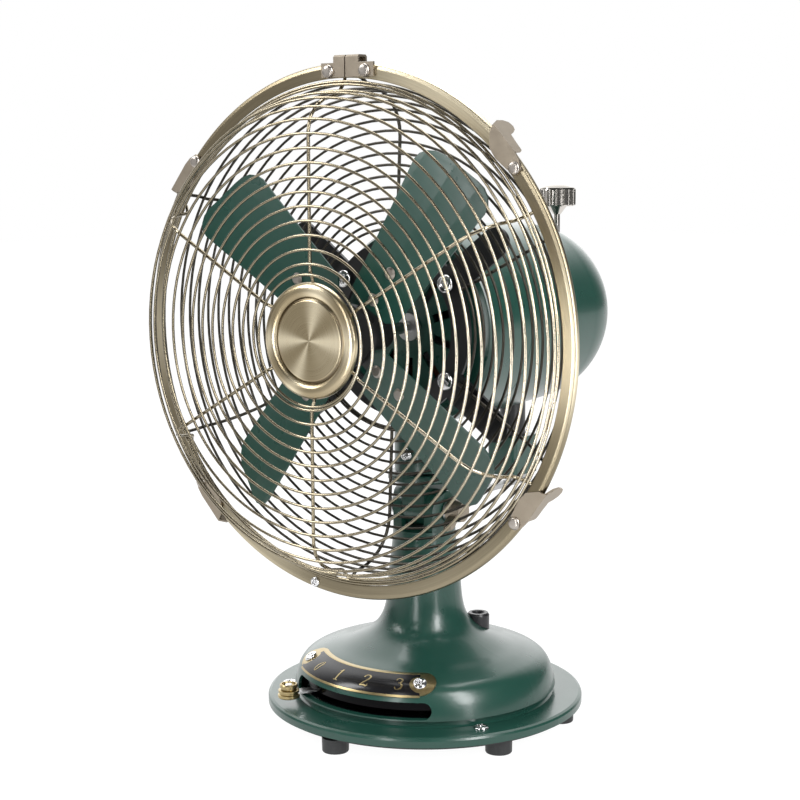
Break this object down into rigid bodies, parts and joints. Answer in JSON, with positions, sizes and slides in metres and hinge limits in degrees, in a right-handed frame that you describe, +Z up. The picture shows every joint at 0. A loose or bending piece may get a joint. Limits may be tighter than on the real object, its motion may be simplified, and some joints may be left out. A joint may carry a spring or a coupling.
{
  "type": "desk fan",
  "caption": "Oscillating electric desk fan with spiral wire guards, a domed base with a speed lever, and a tilting, turning motor head.",
  "frame": {"origin": "on the surface the feet stand on, under the axis of the base's column", "axes": "+Z up along the column, -Y is the side that the fan blows towards at rest, +X to the right as seen from behind the fan"},
  "size_m": [0.332, 0.2967, 0.4328],
  "materials": {
    "green_paint": "satin",
    "antique_brass": "brushed, darkened",
    "spun_brass": "spun",
    "wire_brass": "satin",
    "dark_wire": "darkened",
    "chrome": "polished",
    "steel": "satin",
    "laminate": "matt",
    "copper": "varnished",
    "black_metal": "satin",
    "black_plastic": "matt",
    "gloss_black": "gloss",
    "rubber": "matt",
    "enamel_plate": "gloss",
    "bronze": "satin"
  },
  "bodies": {
    "base": {"base_shell": "green_paint", "base_plate": "black_metal", "rubber_feet": "rubber", "foot_screws": "steel", "flange_screws": "chrome", "number_plate": "enamel_plate", "plate_screws": "chrome", "slot_liner": "gloss_black", "cord_gland": "black_plastic", "speed_switch": "black_plastic", "tilt_bolt": "steel", "tilt_washer": "steel"},
    "speed_lever": {"switch_shaft": "steel", "lever_arm": "steel", "lever_knob": "spun_brass", "lever_screw": "steel"},
    "tilt_knob": {"tilt_knob": "antique_brass"},
    "neck": {"neck_casting": "green_paint", "link_anchor_pin": "steel"},
    "head": {"motor_front_shell": "green_paint", "motor_rear_shell": "green_paint", "stator_core": "laminate", "stator_coils": "copper", "shaft_bearings": "bronze", "bearing_bridge": "steel", "knob_grommet": "black_plastic", "gear_pillar": "black_metal", "gearbox_case": "green_paint", "neck_set_screw": "chrome", "guard_bracket": "black_metal", "bracket_screws": "chrome", "front_guard_wire": "wire_brass", "front_guard_spokes": "wire_brass", "rear_guard_wire": "dark_wire", "rear_guard_spokes": "dark_wire", "clamp_band": "antique_brass", "latch_rivets": "chrome", "band_clasp": "antique_brass", "clasp_rivets": "chrome", "band_screw": "chrome", "badge": "spun_brass", "badge_clamp": "steel"},
    "rotor": {"motor_shaft": "chrome", "rotor_core": "laminate", "fan_hub": "black_metal", "fan_blade_1": "green_paint", "fan_blade_2": "green_paint", "fan_blade_3": "green_paint", "fan_blade_4": "green_paint", "blade_rivets": "chrome", "hub_set_screw": "steel"},
    "oscillation_knob": {"oscillation_knob": "spun_brass", "knob_stem": "steel"},
    "crank": {"crank_shaft": "steel", "worm_wheel": "bronze"},
    "link": {"oscillation_link": "steel"},
    "latch_1": {"band_latch_1": "antique_brass"},
    "latch_2": {"band_latch_2": "antique_brass"},
    "latch_3": {"band_latch_3": "antique_brass"},
    "latch_4": {"band_latch_4": "antique_brass"}
  },
  "joints": [
    {"name": "speed_lever_turn", "type": "hinge", "parent": "base", "child": "speed_lever", "pos_m": [0, 0, 0.0255], "axis": [0, 0, 1], "range_deg": [0, 60]},
    {"name": "tilt_knob_turn", "type": "hinge", "parent": "base", "child": "tilt_knob", "pos_m": [0.028, 0, 0.141], "axis": [1, 0, 0], "range_deg": [-180, 180]},
    {"name": "head_tilt", "type": "hinge", "parent": "base", "child": "neck", "pos_m": [0, 0, 0.141], "axis": [1, 0, 0], "range_deg": [-20, 15]},
    {"name": "head_oscillation", "type": "hinge", "parent": "neck", "child": "head", "pos_m": [0, 0, 0.18], "axis": [0, 0, 1], "range_deg": [-34, 34]},
    {"name": "rotor_spin", "type": "hinge", "parent": "head", "child": "rotor", "pos_m": [0, 0, 0.2624], "axis": [0, 1, 0], "continuous": true},
    {"name": "oscillation_knob_pull", "type": "slide", "parent": "head", "child": "oscillation_knob", "axis": [0, 0, 1], "range_m": [0, 0.006]},
    {"name": "crank_turn", "type": "hinge", "parent": "head", "child": "crank", "pos_m": [0, 0.107, 0.15], "axis": [0, 0, 1], "range_deg": [-55, 55]},
    {"name": "link_turn", "type": "hinge", "parent": "crank", "child": "link", "pos_m": [0, 0.119, 0.141], "axis": [0, 0, 1], "range_deg": [-58.8, 58.8]},
    {"name": "latch_1_swing", "type": "hinge", "parent": "head", "child": "latch_1", "pos_m": [0.12493, -0.083, 0.36538], "axis": [0, 1, 0], "range_deg": [0, 35]},
    {"name": "latch_2_swing", "type": "hinge", "parent": "head", "child": "latch_2", "pos_m": [-0.12182, -0.083, 0.36904], "axis": [0, 1, 0], "range_deg": [0, 35]},
    {"name": "latch_3_swing", "type": "hinge", "parent": "head", "child": "latch_3", "pos_m": [-0.12311, -0.083, 0.15725], "axis": [0, 1, 0], "range_deg": [0, 35]},
    {"name": "latch_4_swing", "type": "hinge", "parent": "head", "child": "latch_4", "pos_m": [0.126, -0.083, 0.16073], "axis": [0, 1, 0], "range_deg": [0, 35]}
  ],
  "couplings": [
    {"joint": "crank_turn", "follows": "head_oscillation", "ratio": -1.6},
    {"joint": "link_turn", "follows": "head_oscillation", "ratio": 1.71}
  ]
}
